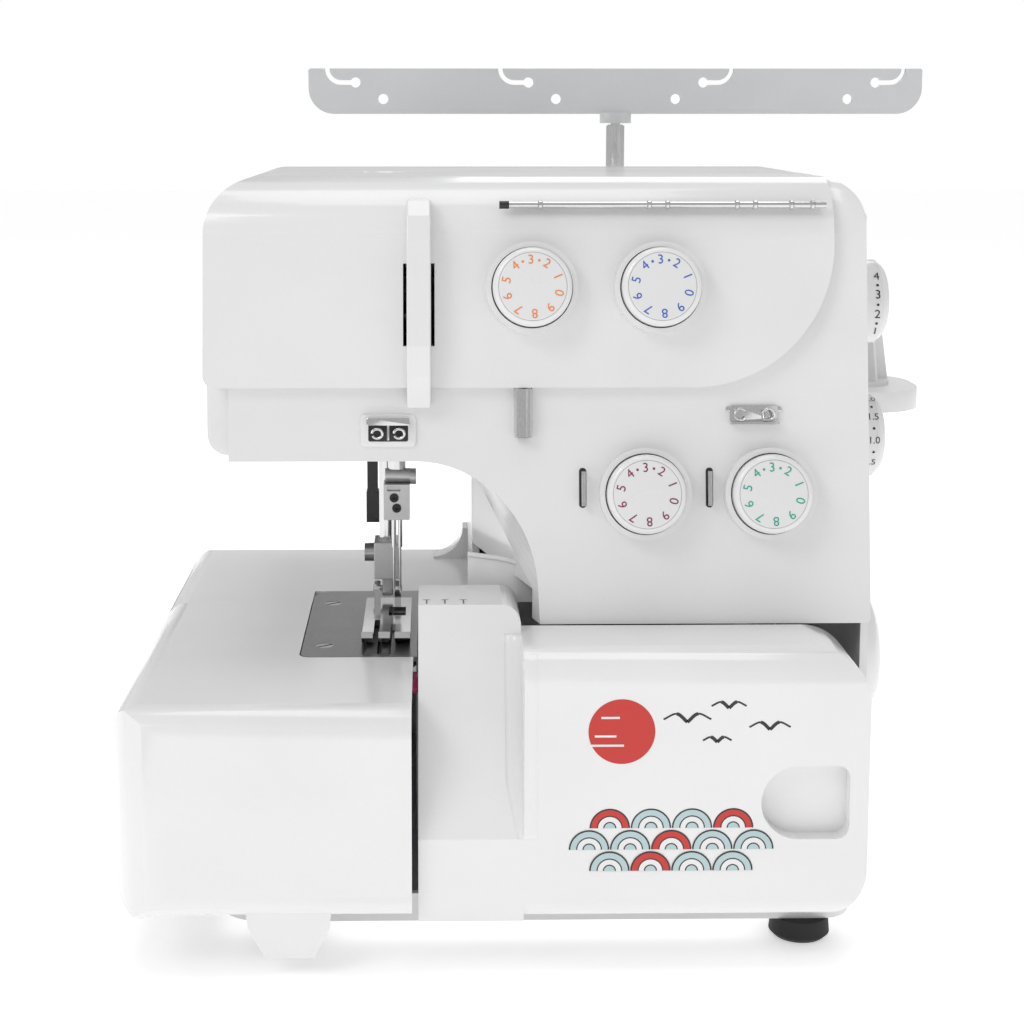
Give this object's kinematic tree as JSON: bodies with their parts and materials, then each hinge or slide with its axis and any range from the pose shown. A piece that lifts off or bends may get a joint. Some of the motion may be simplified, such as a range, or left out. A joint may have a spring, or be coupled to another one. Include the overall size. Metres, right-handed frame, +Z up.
{
  "type": "overlock machine",
  "caption": "Free-standing overlock sewing machine with two needles, loopers behind opening covers, tension dials, handwheel and telescopic thread stand.",
  "frame": {"origin": "on the table under the middle of the machine's box", "axes": "+X to the right seen from the front, +Y to the back, +Z up"},
  "size_m": [0.315, 0.29, 0.2905],
  "materials": {
    "white_plastic": "smooth moulded gloss white",
    "rubber": "matt black rubber",
    "cast_metal": "as cast",
    "dark_steel": "satin dark steel",
    "bright_metal": "polished plating",
    "black_metal": "black finish",
    "black_plastic": "matt black",
    "belt_rubber": "toothed belt",
    "bronze": "sintered",
    "pink_plastic": "gloss pink",
    "clear_plastic": "milky grey white"
  },
  "bodies": {
    "machine": {"base_tray": "white_plastic", "rubber_feet": "rubber", "frame_casting": "cast_metal", "rear_housing": "white_plastic", "rear_bed_cover": "white_plastic", "front_cover": "white_plastic", "upper_shell": "white_plastic", "side_cover_pin": "bright_metal", "needle_plate": "dark_steel", "plate_screws": "bright_metal", "head_plate": "bright_metal", "arm_bracket": "cast_metal", "take_up_cover": "white_plastic", "lower_knife": "bright_metal", "shaft_bushes": "bronze", "motor": "black_metal", "drive_belt": "belt_rubber", "long_thread_guide": "bright_metal", "tube_guide": "bright_metal", "double_hook_guide": "bright_metal", "needle_thread_guide": "bright_metal", "wire_hooks": "bright_metal", "dial_collars": "white_plastic", "power_inlet": "black_plastic", "spool_tray": "white_plastic", "cone_holders": "white_plastic", "pole_outer": "bright_metal"},
    "side_cover": {"side_cover": "white_plastic"},
    "cover_carriage": {"cover_hinge_rod": "bright_metal", "cover_sleeve": "dark_steel"},
    "looper_cover": {"looper_cover": "white_plastic"},
    "needle_bar": {"needle_bar": "bright_metal", "needle_clamp": "bright_metal", "needles": "bright_metal", "clamp_screws": "black_metal"},
    "take_up_lever": {"take_up_lever": "bright_metal"},
    "presser": {"presser_bar": "bright_metal", "foot_holder": "bright_metal", "foot_screw": "bright_metal"},
    "presser_foot": {"presser_foot": "dark_steel"},
    "presser_lifter": {"presser_lifter": "black_plastic"},
    "pressure_screw": {"pressure_screw": "bright_metal"},
    "feed_dogs": {"feed_dogs": "dark_steel"},
    "upper_looper": {"upper_looper": "bright_metal"},
    "lower_looper": {"lower_looper": "bright_metal"},
    "upper_knife": {"upper_knife": "bright_metal"},
    "main_shaft": {"main_shaft": "bright_metal", "handwheel": "white_plastic"},
    "motor_pulley": {"motor_pulley": "black_metal"},
    "tension_dial_1": {"tension_dial_1": "white_plastic"},
    "tension_dial_2": {"tension_dial_2": "white_plastic"},
    "tension_dial_3": {"tension_dial_3": "white_plastic"},
    "tension_dial_4": {"tension_dial_4": "white_plastic"},
    "stitch_length_dial": {"stitch_length_dial": "white_plastic"},
    "differential_dial": {"differential_dial": "white_plastic"},
    "finger_knob": {"finger_knob": "pink_plastic"},
    "power_switch": {"power_switch": "black_plastic"},
    "pole_middle": {"pole_middle": "bright_metal"},
    "pole_top": {"pole_top": "bright_metal", "thread_guide_bar": "clear_plastic"}
  },
  "joints": [
    {"name": "side_cover_swing", "type": "hinge", "parent": "machine", "child": "side_cover", "pos_m": [-0.1505, -0.0194, 0.05], "axis": [0, 0, -1], "range_deg": [0, 90]},
    {"name": "looper_cover_slide", "type": "slide", "parent": "machine", "child": "cover_carriage", "axis": [1, 0, 0], "range_m": [0, 0.004]},
    {"name": "looper_cover_tilt", "type": "hinge", "parent": "cover_carriage", "child": "looper_cover", "pos_m": [0, -0.133, 0.025], "axis": [1, 0, 0], "range_deg": [0, 90]},
    {"name": "needle_bar_slide", "type": "slide", "parent": "machine", "child": "needle_bar", "axis": [0, 0, 1], "range_m": [-0.024, 0.002]},
    {"name": "take_up_swing", "type": "hinge", "parent": "machine", "child": "take_up_lever", "pos_m": [-0.0601, -0.0105, 0.209], "axis": [1, 0, 0], "range_deg": [-0.6, 6]},
    {"name": "upper_looper_swing", "type": "hinge", "parent": "machine", "child": "upper_looper", "pos_m": [-0.048, -0.0396, 0.05], "axis": [0, 1, 0], "range_deg": [-1.6, 19]},
    {"name": "lower_looper_swing", "type": "hinge", "parent": "machine", "child": "lower_looper", "pos_m": [-0.074, -0.033, 0.045], "axis": [0, -1, 0], "range_deg": [-1.6, 19]},
    {"name": "upper_knife_swing", "type": "hinge", "parent": "machine", "child": "upper_knife", "pos_m": [0, -0.095, 0.06], "axis": [1, 0, 0], "range_deg": [-7, 0.6]},
    {"name": "feed_dogs_slide", "type": "slide", "parent": "machine", "child": "feed_dogs", "axis": [0, 1, 0], "range_m": [-0.0003, 0.003]},
    {"name": "presser_slide", "type": "slide", "parent": "machine", "child": "presser", "axis": [0, 0, 1], "range_m": [0, 0.006], "stiffness_N_per_m": 800, "springref_m": -0.02},
    {"name": "presser_foot_tilt", "type": "hinge", "parent": "presser", "child": "presser_foot", "pos_m": [-0.0726, -0.02, 0.0945], "axis": [-1, 0, 0], "range_deg": [0, 8]},
    {"name": "presser_lifter_swing", "type": "hinge", "parent": "machine", "child": "presser_lifter", "pos_m": [-0.076, 0, 0.168], "axis": [1, 0, 0], "range_deg": [0, 25]},
    {"name": "pressure_screw_turn", "type": "hinge", "parent": "machine", "child": "pressure_screw", "pos_m": [-0.0726, -0.021, 0.24], "axis": [0, 0, 1], "range_deg": [-360, 360]},
    {"name": "main_shaft_turn", "type": "hinge", "parent": "machine", "child": "main_shaft", "pos_m": [0, -0.001, 0.0643], "axis": [1, 0, 0], "continuous": true},
    {"name": "motor_turn", "type": "hinge", "parent": "machine", "child": "motor_pulley", "pos_m": [0, 0.042, 0.05], "axis": [1, 0, 0], "continuous": true},
    {"name": "tension_turn_1", "type": "hinge", "parent": "machine", "child": "tension_dial_1", "pos_m": [-0.023, -0.08737, 0.213], "axis": [0, -0.9857, 0.1685], "range_deg": [-108, 216]},
    {"name": "tension_turn_2", "type": "hinge", "parent": "machine", "child": "tension_dial_2", "pos_m": [0.0192, -0.08737, 0.213], "axis": [0, -0.9857, 0.1685], "range_deg": [-108, 216]},
    {"name": "tension_turn_3", "type": "hinge", "parent": "machine", "child": "tension_dial_3", "pos_m": [0.0143, -0.09877, 0.1463], "axis": [0, -0.9857, 0.1685], "range_deg": [-108, 216]},
    {"name": "tension_turn_4", "type": "hinge", "parent": "machine", "child": "tension_dial_4", "pos_m": [0.0556, -0.09877, 0.1463], "axis": [0, -0.9857, 0.1685], "range_deg": [-108, 216]},
    {"name": "stitch_length_turn", "type": "hinge", "parent": "machine", "child": "stitch_length_dial", "pos_m": [0.09, -0.011, 0.2015], "axis": [1, 0, 0], "range_deg": [-100, 60]},
    {"name": "differential_turn", "type": "hinge", "parent": "machine", "child": "differential_dial", "pos_m": [0.09, -0.011, 0.1507], "axis": [1, 0, 0], "range_deg": [-60, 80]},
    {"name": "finger_knob_slide", "type": "slide", "parent": "machine", "child": "finger_knob", "axis": [0, -1, 0], "range_m": [0, 0.004]},
    {"name": "power_switch_tilt", "type": "hinge", "parent": "machine", "child": "power_switch", "pos_m": [0.0832, 0.042, 0.06], "axis": [0, 1, 0], "range_deg": [-4, 4]},
    {"name": "pole_middle_lift", "type": "slide", "parent": "machine", "child": "pole_middle", "axis": [0, 0, 1], "range_m": [0, 0.1]},
    {"name": "pole_top_lift", "type": "slide", "parent": "pole_middle", "child": "pole_top", "axis": [0, 0, 1], "range_m": [0, 0.1]}
  ],
  "couplings": [
    {"joint": "take_up_swing", "follows": "needle_bar_slide", "rad_per_m": -4.3633},
    {"joint": "upper_looper_swing", "follows": "needle_bar_slide", "rad_per_m": -13.817},
    {"joint": "lower_looper_swing", "follows": "needle_bar_slide", "rad_per_m": -13.817},
    {"joint": "upper_knife_swing", "follows": "needle_bar_slide", "rad_per_m": 5.0905},
    {"joint": "feed_dogs_slide", "follows": "needle_bar_slide", "ratio": -0.125},
    {"joint": "motor_turn", "follows": "main_shaft_turn", "ratio": 4}
  ]
}
